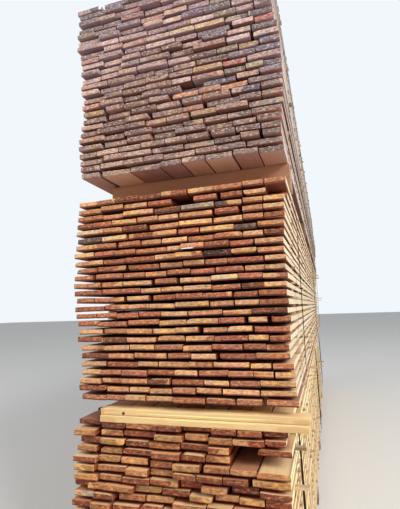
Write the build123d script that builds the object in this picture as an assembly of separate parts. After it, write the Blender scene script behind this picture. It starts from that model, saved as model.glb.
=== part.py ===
"""Yard stack of sawn boards: three stickered packages on timber bearers, all sizes in millimetres.

X runs across the stack, Y along the boards with the near ends at -Y, Z up from the ground.
The origin is on the ground, under the middle of the central ground bearer.
"""
from build123d import *
from collections import namedtuple
import os
from random import Random

# Boards
board_length = 6000.0
narrow_board = 75.0
wide_board = 155.0
board_widths = (95.0, 100.0, 105.0, 115.0, 120.0, 125.0, 140.0, 150.0)
board_gap = 2.0
board_gap_spread = 6.0
wide_gap = 14.0
wide_gap_share = 0.12
row_wander = 8.0
thin_share = 0.4
thin_loss = 1.5
short_share = 0.005
short_setback = 190.0
wane_depth = 11.0
wane_reach = 17.0

# Stickers, the laths between the rows
sticker_width = 28.0
sticker_columns = 7
first_sticker = 320.0
sticker_wander = 14.0
sticker_poke = 1.5
sticker_poke_spread = 22.0
long_sticker_poke = 90.0
long_sticker_share = 0.008

# Bearers
ground_bearer_side = 100.0
ground_bearer_length = 940.0
middle_bearer_height = 90.0
middle_bearer_width = 100.0
middle_bearer_length = 900.0
upper_bearer_side = 120.0
upper_bearer_length = 924.0
upper_bearer_shift = 57.0
bearer_count = 5
ground_bearer_inset = 600.0
middle_bearer_inset = 600.0
upper_bearer_inset = 240.0

# Loose dunnage at the near end of the gap under the middle package
dunnage_width = 73.0
dunnage_length = 905.0
dunnage_proud = 13.0
dunnage_shift = 92.0
upper_plank_thickness = 28.0
lower_plank_thickness = 29.0
plank_offset = 7.0

# Straps: their places are clear distances from the stickers, bearers and middle of the stack
strap_width = 19.0
strap_thickness = 1.0
strap_ease = 0.3
strap_side_ease = 1.0
strap_before_sticker = 62.5
strap_before_bearer = 60.5
central_strap_offset = 223.0

# Packages. The width is that of the bottom row, and the flare how much wider the top row is.
# The shift is the sideways place of the top row, and the lean how much further right the bottom
# row lies. The stagger is how far the board ends stand in and out.
Package = namedtuple("Package", "name width flare shift lean rows board sticker stagger wane_share "
                                "base sides")
lower_width = 946.0
lower_flare = 0.0
lower_shift = -16.0
lower_lean = 6.0
lower_rows = 26
lower_board = 24.0
lower_sticker = 13.0
lower_stagger = 20.0
lower_wane_share = 0.36
middle_width = 968.0
middle_flare = 28.0
middle_shift = -2.0
middle_lean = 12.0
middle_rows = 26
middle_board = 24.0
middle_sticker = 12.0
middle_stagger = 9.0
middle_wane_share = 0.14
upper_width = 998.0
upper_flare = 0.0
upper_shift = 10.0
upper_lean = 12.0
upper_rows = 26
upper_board = 24.0
upper_sticker = 12.0
upper_stagger = 12.0
upper_wane_share = 0.24

# How far a row stands out past the line of its package, left and right; other rows wander
lower_sides = {
    17: (17.0, 2.0), 18: (7.0, -3.0), 19: (17.0, -6.0), 20: (2.0, 0.0), 21: (2.0, -2.0),
    22: (7.0, 0.0), 23: (-3.0, 1.0), 24: (-12.0, 7.0), 25: (3.0, -12.0), 26: (-3.0, -2.0),
}
middle_sides = {
    1: (-8.0, 11.0), 2: (2.0, 4.0), 3: (-9.0, 3.0), 4: (-14.0, 5.0), 5: (-14.0, 0.0),
    6: (-11.0, -11.0), 7: (-16.0, -14.0), 8: (10.0, -5.0), 9: (-8.0, -6.0), 10: (7.0, 0.0),
    11: (12.0, -10.0), 12: (16.0, -4.0), 13: (11.0, -9.0), 14: (15.0, -9.0), 15: (17.0, -1.0),
    16: (17.0, -8.0), 17: (8.0, -4.0), 18: (17.0, -10.0), 19: (17.0, -10.0), 20: (12.0, -6.0),
    21: (0.0, -3.0), 22: (5.0, 1.0), 23: (1.0, 1.0), 24: (-2.0, 3.0), 25: (-8.0, 9.0),
    26: (-12.0, 14.0),
}
upper_sides = {
    1: (-2.0, -9.0), 2: (1.0, -12.0), 3: (10.0, -14.0), 4: (14.0, -14.0), 5: (11.0, -6.0),
    6: (4.0, -5.0), 7: (3.0, 4.0), 8: (-2.0, 8.0), 9: (-12.0, 9.0), 10: (-14.0, 12.0),
    11: (-11.0, 11.0), 12: (-12.0, 11.0), 13: (-11.0, 10.0), 14: (-8.0, 10.0), 15: (-8.0, 11.0),
    16: (-11.0, 10.0), 17: (-15.0, 4.0), 18: (-5.0, -6.0), 19: (3.0, -10.0), 20: (14.0, -10.0),
    21: (15.0, -8.0), 22: (12.0, -7.0), 23: (10.0, -5.0), 24: (5.0, -2.0), 25: (-1.0, 0.0),
    26: (16.0, -6.0),
}

# Boards that stand out of their package (+) or back in it (-): row from the bottom,
# left and right edge from the middle of the package, and how far
lower_moved_boards = {
    24: ((237.0, 346.0, -300.0),),
    23: ((237.0, 340.0, -320.0), (346.0, 473.0, -290.0)),
    22: ((346.0, 473.0, 14.0),),
    19: ((-330.0, -190.0, 26.0),),
}
middle_moved_boards = {
    25: ((-2.0, 103.0, -260.0), (428.0, 506.0, -110.0)),
    19: ((48.0, 150.0, 32.0), (154.0, 258.0, 24.0)),
    18: ((20.0, 140.0, 34.0), (144.0, 262.0, 12.0)),
    3: ((-476.0, -370.0, 18.0),),
}
upper_moved_boards = {
    24: ((-150.0, -40.0, 16.0),),
    11: ((40.0, 150.0, -60.0),),
}

# Rows of boards, or of the stickers on them, that share a node
rows_in_node = 4

near_end = -board_length / 2


def package_height(rows, board, sticker):
    """Height of a package of so many rows with a sticker between each two."""
    return rows * board + (rows - 1) * sticker


lower_base = ground_bearer_side
lower_top = lower_base + package_height(lower_rows, lower_board, lower_sticker)
middle_base = lower_top + middle_bearer_height
middle_top = middle_base + package_height(middle_rows, middle_board, middle_sticker)
upper_base = middle_top + upper_bearer_side

lower = Package("lower", lower_width, lower_flare, lower_shift, lower_lean, lower_rows, lower_board,
                lower_sticker, lower_stagger, lower_wane_share, lower_base, lower_sides)
middle = Package("middle", middle_width, middle_flare, middle_shift, middle_lean, middle_rows, middle_board,
                 middle_sticker, middle_stagger, middle_wane_share, middle_base, middle_sides)
upper = Package("upper", upper_width, upper_flare, upper_shift, upper_lean, upper_rows, upper_board,
                upper_sticker, upper_stagger, upper_wane_share, upper_base, upper_sides)


def block(x_low, x_high, y_low, y_high, z_low, z_high):
    """A squared timber between two corners."""
    size = (x_high - x_low, y_high - y_low, z_high - z_low)
    centre = ((x_low + x_high) / 2, (y_low + y_high) / 2, (z_low + z_high) / 2)
    return Pos(*centre) * Box(*size)


def waney_board(x_low, x_high, y_low, y_high, z_low, z_high, corner):
    """A board with the round of the log left along one edge: corner gives its side and height."""
    side, height = corner
    edge = x_high if side > 0 else x_low
    inner = edge - side * wane_reach
    face = z_high if height > 0 else z_low
    cut = face - height * wane_depth
    far = x_low if side > 0 else x_high
    other = z_low if height > 0 else z_high
    outline = [(far, other), (edge, other), (edge, cut), (inner, face), (far, face)]
    section = Plane.XZ * make_face(Polyline(*outline, close=True))
    return Pos(0, y_high, 0) * extrude(section, y_high - y_low)


def row_middle(package, row):
    """Sideways place of a row, counted from 0 at the bottom of its package."""
    return package.shift + package.lean * (1 - row / (package.rows - 1))


def row_width(package, row):
    """Width of a row between the lines of its package's sides."""
    return package.width + package.flare * row / (package.rows - 1)


def row_sides(package):
    """Left and right edge of each row, from the bottom up."""
    sides = []
    for row in range(package.rows):
        wander = Random(package.name + "side" + str(row)).uniform(-row_wander, row_wander)
        left_out, right_out = package.sides.get(row + 1, (-wander, wander))
        middle_of_row, half = row_middle(package, row), row_width(package, row) / 2
        sides.append((middle_of_row - half - left_out, middle_of_row + half + right_out))
    return sides


def fill_span(dice, left, right):
    """Left and right edges of boards of mixed widths laid side by side between two places."""
    boards = []
    while right - left > narrow_board:
        gap = board_gap + dice.random() * board_gap_spread
        if dice.random() < wide_gap_share:
            gap += wide_gap
        room = right - left
        width = dice.choice(board_widths)
        if room < wide_board:
            width = room
        elif room - width - gap < narrow_board:
            width = (room - gap) / 2
        boards.append((left, left + width))
        left += width + gap
    return boards


def row_boards(dice, left, right, moved):
    """Edges of all boards of a row between its sides, with how far each is moved out."""
    boards = []
    for board_left, board_right, out in sorted(moved):
        boards += [(*edges, 0.0) for edges in fill_span(dice, left, board_left - board_gap)]
        boards.append((board_left, board_right, out))
        left = board_right + board_gap
    boards += [(*edges, 0.0) for edges in fill_span(dice, left, right)]
    return boards


def package_boards(package, moved_boards):
    """All boards of a package, as one list for each row from its bottom."""
    laid_rows = []
    for row, (left_side, right_side) in enumerate(row_sides(package)):
        dice = Random(package.name + str(row))
        middle_of_row = row_middle(package, row)
        z_low = package.base + row * (package.board + package.sticker)
        moved = moved_boards.get(row + 1, ())
        boards = row_boards(dice, left_side - middle_of_row, right_side - middle_of_row, moved)
        laid = []
        for number, (left, right, out) in enumerate(boards):
            near = near_end + dice.uniform(-package.stagger, package.stagger) - out
            far = -near_end + dice.uniform(-package.stagger, package.stagger)
            if dice.random() < short_share and 0 < number < len(boards) - 1:
                near += short_setback
            thickness = package.board
            if dice.random() < thin_share:
                thickness -= thin_loss
            place = (middle_of_row + left, middle_of_row + right, near, far, z_low, z_low + thickness)
            if dice.random() < package.wane_share:
                corner = (dice.choice((-1, 1)), dice.choice((-1, 1)))
                laid.append(waney_board(*place, corner))
            else:
                laid.append(block(*place))
        laid_rows.append(laid)
    return laid_rows


def package_stickers(package):
    """The laths on each row of a package but the last, in columns along its length."""
    laid_rows = []
    reach = board_length - 2 * first_sticker
    sides = row_sides(package)
    for row in range(package.rows - 1):
        dice = Random(package.name + "sticker" + str(row))
        left_edge = min(sides[row][0], sides[row + 1][0])
        right_edge = max(sides[row][1], sides[row + 1][1])
        z_low = package.base + package.board + row * (package.board + package.sticker)
        laid = []
        for column in range(sticker_columns):
            y_mid = near_end + first_sticker + reach * column / (sticker_columns - 1)
            y_mid += dice.uniform(-sticker_wander, sticker_wander)
            left_poke = sticker_poke + dice.random() * dice.random() * sticker_poke_spread
            right_poke = sticker_poke + dice.random() * dice.random() * sticker_poke_spread
            if dice.random() < long_sticker_share:
                right_poke = long_sticker_poke
            laid.append(block(left_edge - left_poke, right_edge + right_poke,
                              y_mid - sticker_width / 2, y_mid + sticker_width / 2,
                              z_low, z_low + package.sticker))
        laid_rows.append(laid)
    return laid_rows


def add_rows(kind, laid_rows):
    """Put the solids of a package into nodes of a few rows each."""
    for first in range(0, len(laid_rows), rows_in_node):
        rows = laid_rows[first:first + rows_in_node]
        span = "_rows_%02d_%02d" % (first + 1, first + len(rows))
        nodes[kind + span] = [solid for row in rows for solid in row]


def bearers(inset, length, width, height, shift, base):
    """A row of bearers across the stack, the first and last set in from the ends by the inset."""
    first = near_end + inset
    step = -2 * first / (bearer_count - 1)
    return [block(shift - length / 2, shift + length / 2,
                  first + step * number - width / 2, first + step * number + width / 2,
                  base, base + height)
            for number in range(bearer_count)]


def strap(package, y_mid):
    """A band round a package: its inside lies on the boards at top and bottom and leans with the rows."""
    out = row_wander
    for left_out, right_out in package.sides.values():
        out = max(out, left_out, right_out)
    foot = package.shift + package.lean
    half_low = package.width / 2 + out + strap_side_ease
    half_high = half_low + package.flare / 2
    low = package.base - strap_ease
    high = package.base + package_height(package.rows, package.board, package.sticker) + strap_ease

    def outline(grow):
        return make_face(Polyline((foot - half_low - grow, low - grow),
                                  (foot + half_low + grow, low - grow),
                                  (package.shift + half_high + grow, high + grow),
                                  (package.shift - half_high - grow, high + grow), close=True))

    section = Plane.XZ * (outline(strap_thickness) - outline(0))
    return Pos(0, y_mid + strap_width / 2, 0) * extrude(section, strap_width)


def straps(package, place):
    """Three straps of a package: one by each end, at its place from that end, and one by the middle."""
    return [strap(package, y_mid) for y_mid in (near_end + place, central_strap_offset, -near_end - place)]


nodes = {}
for package, moved_boards in ((lower, lower_moved_boards), (middle, middle_moved_boards),
                              (upper, upper_moved_boards)):
    add_rows(package.name + "_boards", package_boards(package, moved_boards))
    add_rows(package.name + "_stickers", package_stickers(package))

nodes["ground_bearers"] = bearers(ground_bearer_inset, ground_bearer_length, ground_bearer_side,
                                  ground_bearer_side, 0.0, 0.0)
nodes["middle_bearers"] = bearers(middle_bearer_inset, middle_bearer_length, middle_bearer_width,
                                  middle_bearer_height, lower_shift, lower_top)
nodes["upper_bearers"] = bearers(upper_bearer_inset, upper_bearer_length, upper_bearer_side,
                                 upper_bearer_side, upper_bearer_shift, middle_top)

dunnage_near = near_end - dunnage_proud
dunnage_left = dunnage_shift - dunnage_length / 2
plank_top = lower_top + lower_plank_thickness
nodes["dunnage_lower_plank"] = [block(
    dunnage_left, dunnage_left + dunnage_length - plank_offset,
    dunnage_near, dunnage_near + dunnage_width, lower_top, plank_top)]
nodes["dunnage_upper_plank"] = [block(
    dunnage_left, dunnage_left + dunnage_length,
    dunnage_near + plank_offset, dunnage_near + plank_offset + dunnage_width,
    plank_top, plank_top + upper_plank_thickness)]

sticker_clear = sticker_wander + sticker_width / 2 + strap_before_sticker + strap_width / 2
bearer_clear = middle_bearer_width / 2 + strap_before_bearer + strap_width / 2
nodes["lower_straps"] = straps(lower, first_sticker - sticker_clear)
nodes["middle_straps"] = straps(middle, middle_bearer_inset - bearer_clear)

os.makedirs("parts", exist_ok=True)
for node, solids in nodes.items():
    export_step(Compound(children=solids, label=node), "parts/" + node + ".step")
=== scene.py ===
"""Looks of a yard stack of sawn boards: board ends, board faces, laths, bearers, loose planks and bands.

Units are metres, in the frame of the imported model: X across the stack, Y along the boards with the near
ends at -Y, Z up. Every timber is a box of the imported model, shaped by one node tree: its arrises are
eased, the round of the log is left where the board is waney, and its free ends droop, twist and cup.
"""

import math
from random import Random

import bmesh
import bpy
import numpy as np
from mathutils import Matrix, Vector


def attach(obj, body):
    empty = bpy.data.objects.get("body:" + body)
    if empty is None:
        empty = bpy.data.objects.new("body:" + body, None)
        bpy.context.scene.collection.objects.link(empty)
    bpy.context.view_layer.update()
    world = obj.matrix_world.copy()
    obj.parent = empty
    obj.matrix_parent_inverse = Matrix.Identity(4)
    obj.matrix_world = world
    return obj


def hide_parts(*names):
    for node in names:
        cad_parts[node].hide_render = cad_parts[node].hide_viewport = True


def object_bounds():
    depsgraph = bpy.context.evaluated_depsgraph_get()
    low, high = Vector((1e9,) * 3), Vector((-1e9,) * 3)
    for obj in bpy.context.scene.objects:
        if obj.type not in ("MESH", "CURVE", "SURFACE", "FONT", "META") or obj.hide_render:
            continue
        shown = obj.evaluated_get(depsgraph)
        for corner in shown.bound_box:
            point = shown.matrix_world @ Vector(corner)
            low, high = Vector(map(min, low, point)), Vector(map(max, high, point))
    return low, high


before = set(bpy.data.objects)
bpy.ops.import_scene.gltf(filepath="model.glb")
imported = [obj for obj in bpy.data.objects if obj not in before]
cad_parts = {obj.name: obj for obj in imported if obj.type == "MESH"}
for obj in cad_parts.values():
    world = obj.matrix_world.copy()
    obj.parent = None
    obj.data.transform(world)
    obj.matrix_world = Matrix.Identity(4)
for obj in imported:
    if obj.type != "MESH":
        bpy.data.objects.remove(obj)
cad_low, cad_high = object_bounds()

# Camera, fitted to the ends of the rows
IMAGE_WIDTH = 400
FOCAL_PIXELS = 389.6
SENSOR = 36.0
CAMERA_PLACE = Vector((0.6269, -4.5963, 1.5309))
CAMERA_RIGHT = Vector((0.9523, 0.3032, -0.0346))
CAMERA_UP = Vector((0.0742, -0.1200, 0.9900))
CAMERA_FORWARD = Vector((-0.2960, 0.9453, 0.1368))

# Light: strength of the sky, and place and power of each lamp
SKY_STRENGTH = 0.42
SKY_COLOUR = (0.95, 0.97, 1.0)
LAMPS = {"key": ((11.2, -9.5, 9.5), 2300.0), "fill": ((-8.0, -8.7, 5.5), 410.0)}
LAMP_SIZE = 6.4
LAMP_AIM = Vector((0.0, -1.5, 1.5))
BACKDROP = (0.88, 0.93, 0.97)
FLOOR_COLOUR = (0.84, 0.83, 0.81)
FLOOR_REACH = 60.0

# Where a board overhangs its first lath its end is free to move
FREE_END = 0.33
# Farther than any board is long or any log is thick
FAR = 9.0
# The centre of a board lies within this height of a mark on its end
HALF_ROW = 0.0185
# The next row up starts at least and at most so much higher
ROW_STEP = (0.02, 0.05)
# Boards within this height of a group of rows count as near it
NEAR_ROWS = 0.06
# Boards whose undersides differ by less than this lie in one row
SAME_ROW = 0.004
# An edge this near to the side or foot of its package lies at it
AT_EDGE = 0.01
# A board this near to the top of the stack is kept from rising
AT_TOP = 0.005
# How far from its near end the underside of the upper package lies bare; farther in it gets painted shade
BARE_UNDERSIDE = 0.3
# Ends of the upper package grow paler from the first of these heights to the second
PALER_UP = (2.45, 2.85)
# Stained ends grow common there towards the right side, up to a share, and towards the upper left corner
STAINED_RIGHT = (0.05, 0.40)
STAINED_RIGHT_SHARE = 0.7
STAINED_CORNER_UP = (2.90, 2.98)
STAINED_CORNER_ACROSS = (-0.10, -0.25)
# Stained ends are slate above this height, and dark brown below it
SLATE_HEIGHT = 2.50
# How far a lath between two columns strays, and how near in height a lath that stands out has to be
LATH_STRAY = 0.014
LATH_NEAR = 0.018
# Growth rings, and the thickness of the logs that boards and laths are sawn from, as a radius
RING_WIDTH = 0.0042
BOARD_LOG = 0.13
LATH_LOG = 0.06
# Faces that meet at a smaller angle, in degrees, are shaded as one
SMOOTH_ANGLE = 32
BUMP_STRENGTH = 0.6

PACKAGES = ("lower", "middle", "upper")

# All colours of wood are as they are seen, 0 to 255.
# Board ends: how common each colour is, in a package or in a part of it
END_COLOURS = {
    "lower": ((2, (200, 142, 92)), (4, (176, 114, 72)), (5, (154, 86, 52)), (3, (134, 66, 38)),
              (1, (112, 42, 20)), (2, (182, 134, 82)), (2, (166, 90, 62))),
    "middle": ((3, (220, 172, 130)), (4, (202, 146, 106)), (5, (182, 118, 84)), (3, (156, 90, 60)),
               (2, (178, 104, 80)), (2, (206, 160, 112)), (1, (122, 66, 42))),
    "upper": ((1, (204, 174, 152)), (3, (164, 132, 116)), (4, (138, 110, 100)), (4, (118, 92, 84)),
              (2, (98, 80, 76)), (1, (182, 126, 92)), (1, (178, 146, 106))),
    "upper high": ((3, (220, 192, 188)), (5, (190, 160, 162)), (5, (168, 140, 148)), (3, (142, 118, 128)),
                   (1, (118, 102, 126)), (2, (196, 146, 130)), (1, (206, 174, 144))),
    "upper slate": ((3, (142, 124, 138)), (3, (122, 108, 124)), (2, (104, 102, 110)), (1, (164, 118, 114)),
                    (1, (152, 142, 120))),
    "upper dark": ((3, (134, 110, 104)), (3, (114, 94, 90)), (1, (98, 86, 84)), (1, (156, 112, 96))),
}
# How light these ends are as a whole
END_LEVEL = {"lower": 0.77, "middle": 0.88, "upper": 0.88, "upper high": 0.94, "upper slate": 0.84,
             "upper dark": 0.86}
# Long faces, in the same way
FACE_COLOURS = {
    "lower": ((4, (240, 206, 156)), (3, (232, 192, 142)), (2, (218, 168, 120)), (1, (190, 130, 92))),
    "middle": ((4, (236, 206, 164)), (3, (224, 190, 148)), (2, (206, 162, 124)), (1, (180, 126, 96))),
    "upper": ((3, (204, 158, 132)), (3, (188, 138, 114)), (2, (164, 114, 96)), (1, (140, 92, 80))),
    "upper high": ((3, (204, 178, 178)), (3, (190, 164, 168)), (2, (168, 144, 152))),
}
LATH_COLOURS = {
    "lower": ((240, 210, 156), (226, 192, 138), (204, 164, 112)),
    "middle": ((228, 204, 166), (212, 182, 140), (180, 146, 110)),
    "upper": ((190, 172, 154), (172, 150, 132), (146, 122, 106)),
}
# Sapwood, the paler outer part of the log, where it shows on a board end
SAPWOOD = {"lower": (222, 172, 112), "middle": (230, 182, 128), "upper": (212, 184, 168)}
# The outermost board of a row shows its edge at the side of the stack, in a paler colour than its faces
SIDE_COLOUR = {"lower": (255, 240, 188), "middle": (228, 215, 184), "upper": (206, 198, 189)}

# Finish of each package: share of grey; heights of its foot and top; where the painted shade on the underside
# of an end begins and is full, and its share; that shade, as a factor; grain of the torn fibres; painted
# shade of covered wood inside, as a factor, near the ends and deeper in; and how far in that shade begins and
# is full
PACKAGE_LOOKS = {
    "lower": {"weathering": 0.0, "foot": 0.0, "top": 1.12, "underside": (-0.38, -0.76, 0.95),
              "painted_under_shade": (0.36, 0.16, 0.08), "speck": 110.0, "shade": (0.31, 0.075, 0.02), "deeper": None,
              "rim": (0.006, 0.020)},
    "middle": {"weathering": 0.0, "foot": 1.12, "top": 2.15, "underside": (-0.28, -0.50, 1.0),
               "painted_under_shade": (0.22, 0.10, 0.05), "speck": 140.0, "shade": (0.30, 0.085, 0.03), "deeper": None,
               "rim": (0.001, 0.008)},
    "upper": {"weathering": 0.35, "foot": 2.15, "top": FAR, "underside": (-0.46, -0.80, 0.75),
              "painted_under_shade": (0.54, 0.42, 0.42), "speck": 110.0, "shade": (0.66, 0.55, 0.57),
              "deeper": (0.36, 0.28, 0.24), "rim": (0.0005, 0.006)},
}
# The shade on laths, bearers and loose planks, as a factor
LIGHT_SHADE = (0.8, 0.75, 0.7)

# Colours of single boards, smears and dabs
PAINTS = {
    "slate": (98, 98, 110), "violet": (112, 106, 130), "ink": (70, 70, 98), "stone": (108, 104, 94),
    "rose": (182, 112, 106), "blush": (204, 176, 170), "brick": (186, 110, 84), "clay": (156, 102, 78),
    "salmon": (208, 148, 114), "ash": (156, 146, 134), "cream": (216, 188, 146), "straw": (220, 178, 120),
    "soot": (92, 80, 74), "char": (66, 40, 38), "umber": (108, 54, 36), "rust": (136, 60, 38),
    "tan": (186, 130, 94), "fresh": (240, 210, 158), "white": (244, 242, 240), "sky": (84, 126, 152),
    "pink": (208, 118, 126), "resin": (232, 170, 84), "hole": (52, 38, 18), "scuff": (204, 164, 110),
    # Painted highlight along the arrises of the loose planks
    "painted_arris_highlight": (232, 222, 146),
}
# Boards whose near end stands out by its colour: its place across and up
MARKED_ENDS = {
    "slate": ((0.232, 2.904), (-0.350, 3.095), (-0.357, 3.060)),
    "violet": ((0.417, 2.679),),
    "ink": ((0.270, 2.569), (0.371, 2.498), (-0.456, 3.095)),
    "stone": ((0.327, 2.599),),
    "rose": ((0.482, 2.817), (0.319, 2.635)),
    "blush": ((0.354, 2.784),),
    "ash": ((0.443, 2.591), (0.485, 2.423), (0.088, 1.982), (-0.448, 0.738)),
    "salmon": ((0.368, 2.527), (0.087, 2.520), (0.151, 1.802)),
    "cream": ((0.216, 2.857), (0.117, 2.853), (-0.346, 1.867), (-0.445, 1.900), (0.212, 1.659),
              (-0.455, 1.813)),
    "straw": ((0.086, 1.910), (0.190, 1.873)),
    "brick": ((0.172, 1.982), (0.113, 1.871), (0.327, 1.800), (0.328, 1.657), (-0.357, 1.805)),
    "clay": ((0.068, 1.782), (0.431, 1.655)),
    "soot": ((0.235, 1.979), (0.292, 1.872), (-0.456, 1.871), (0.433, 1.696), (-0.452, 0.684)),
    "char": ((0.199, 1.772),),
    "umber": ((-0.444, 1.034), (-0.267, 1.034), (-0.158, 0.966)),
    "rust": ((0.266, 1.005), (0.400, 1.006), (0.059, 0.819), (0.371, 0.777)),
}
# The same for the long faces of boards that lie bare
MARKED_FACES = {"tan": ((0.290, 0.889),), "fresh": ((0.400, 0.889),), "clay": ((-0.444, 1.034),)}
# Dabs on the near ends: paint, place across and up, reach across and up
DABS = (
    ("sky", 0.450, 2.716, 0.030, 0.012), ("violet", 0.415, 2.680, 0.026, 0.011),
    ("ink", 0.276, 2.566, 0.013, 0.009), ("white", -0.368, 3.095, 0.014, 0.012),
    ("white", -0.350, 3.040, 0.020, 0.008), ("pink", -0.152, 3.020, 0.018, 0.010),
    ("white", 0.077, 1.789, 0.032, 0.004), ("resin", 0.128, 1.777, 0.014, 0.010),
    ("ash", 0.247, 0.985, 0.010, 0.004),
)
# Marks on the loose planks: a nail hole, dirty ends, a scuff, and painted highlights along two arrises
PLANK_DABS = (
    ("hole", -0.247, 1.0880, 0.0076, 0.0066), ("scuff", -0.322, 1.060, 0.042, 0.014),
    ("scuff", -0.352, 1.096, 0.012, 0.016), ("scuff", 0.478, 1.060, 0.070, 0.013),
    ("scuff", 0.515, 1.088, 0.040, 0.010), ("painted_arris_highlight", 0.120, 1.0735, 0.260, 0.002),
    ("painted_arris_highlight", 0.130, 1.0905, 0.300, 0.0025), ("straw", -0.060, 1.056, 0.030, 0.020),
)

# Laths, bearers and planks lie still from end to end
STILL_ENDS = {"End Droop": 0.0, "End Twist": 0.0, "End Cup": 0.0}
# Laths that stand out at the right side: place along and up, reach across, and shade of their end
LONG_LATHS = ((-2.180, 1.169, 0.582, 0.9), (-2.850, 0.945, 0.512, 0.35), (-2.862, 0.790, 0.515, 1.15))

# Bearers and loose planks: colour, slot, and the share of its lightness that each one behind the first keeps,
# as painted shade inside the stack
BEARERS = {
    "ground_bearers": ((150, 112, 84), "bearer_timber", 1.0),
    "middle_bearers": ((150, 112, 84), "bearer_timber", 1.0),
    "upper_bearers": ((194, 144, 110), "bearer_timber", 0.5),
    "dunnage_lower_plank": ((242, 214, 156), "fresh_timber", 1.0),
    "dunnage_upper_plank": ((242, 214, 156), "fresh_timber", 1.0),
}

# Bands: how far each turns on edge where it runs down the right side, and the height of its seal
BANDS = {"lower_straps": (0.62, 0.932), "middle_straps": (0.22, 1.37)}
BAND_RADIUS = 0.006
BAND_THICKNESS = 0.001
CORNER_STEPS = 6
TWIST_STEPS = 24
# A crimped seal: how far off the band its back and front lie, its bevel, and its rings, each with its
# height about the middle and half its width there
SEAL_BACK = -0.0004
SEAL_FRONT = 0.0014
SEAL_BEVEL = 0.001
SEAL_RINGS = ((-0.019, 0.0100), (-0.016, 0.0108), (-0.007, 0.0108), (-0.005, 0.0096), (0.0, 0.0092),
              (0.005, 0.0096), (0.007, 0.0108), (0.016, 0.0108), (0.019, 0.0100))

# Torn slivers: place of the root across and up, length, direction, curl, width
SLIVERS = (
    (0.222, 0.997, 0.036, -0.55, 0.5, 0.0022), (0.236, 0.996, 0.026, -0.9, -0.4, 0.0018),
    (-0.400, 1.468, 0.044, 0.75, -0.4, 0.0026), (-0.306, 1.470, 0.046, 0.85, 0.3, 0.0028),
    (-0.372, 1.478, 0.030, 0.4, 0.5, 0.0020), (0.150, 1.762, 0.034, -0.3, 0.5, 0.0022),
    (0.098, 2.571, 0.030, -0.9, 0.6, 0.0024), (-0.120, 2.400, 0.034, 0.6, 0.7, 0.0024),
    (0.020, 2.326, 0.028, -0.6, 0.4, 0.0022), (0.330, 2.860, 0.030, 1.0, 0.2, 0.0024),
    (-0.330, 2.290, 0.034, -0.5, 0.8, 0.0024), (0.410, 1.250, 0.026, 0.4, 0.6, 0.0020),
)
SLIVER_ROOT = -2.990
SLIVER_STEPS = 7
# A sliver's edge is this thick everywhere, and its root this much thicker; half its width at the tip; lean
SLIVER_EDGE = 0.0003
SLIVER_SWELL = 0.0014
SLIVER_TIP = 0.0002
SLIVER_LEAN = 0.16


def srgb(red, green, blue):
    """A colour as it is seen, 0 to 255, as the linear values that Blender wants."""
    def linear(level):
        level /= 255
        return level / 12.92 if level <= 0.04045 else ((level + 0.055) / 1.055) ** 2.4
    return (linear(red), linear(green), linear(blue), 1.0)


def shade(colour, factor):
    """A linear colour made lighter or darker."""
    return tuple(min(1.0, level * factor) for level in colour[:3]) + (1.0,)


def pick(dice, colours):
    """One of several colours, by how common each is."""
    return srgb(*dice.choices([colour for _, colour in colours], [share for share, _ in colours])[0])


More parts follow.
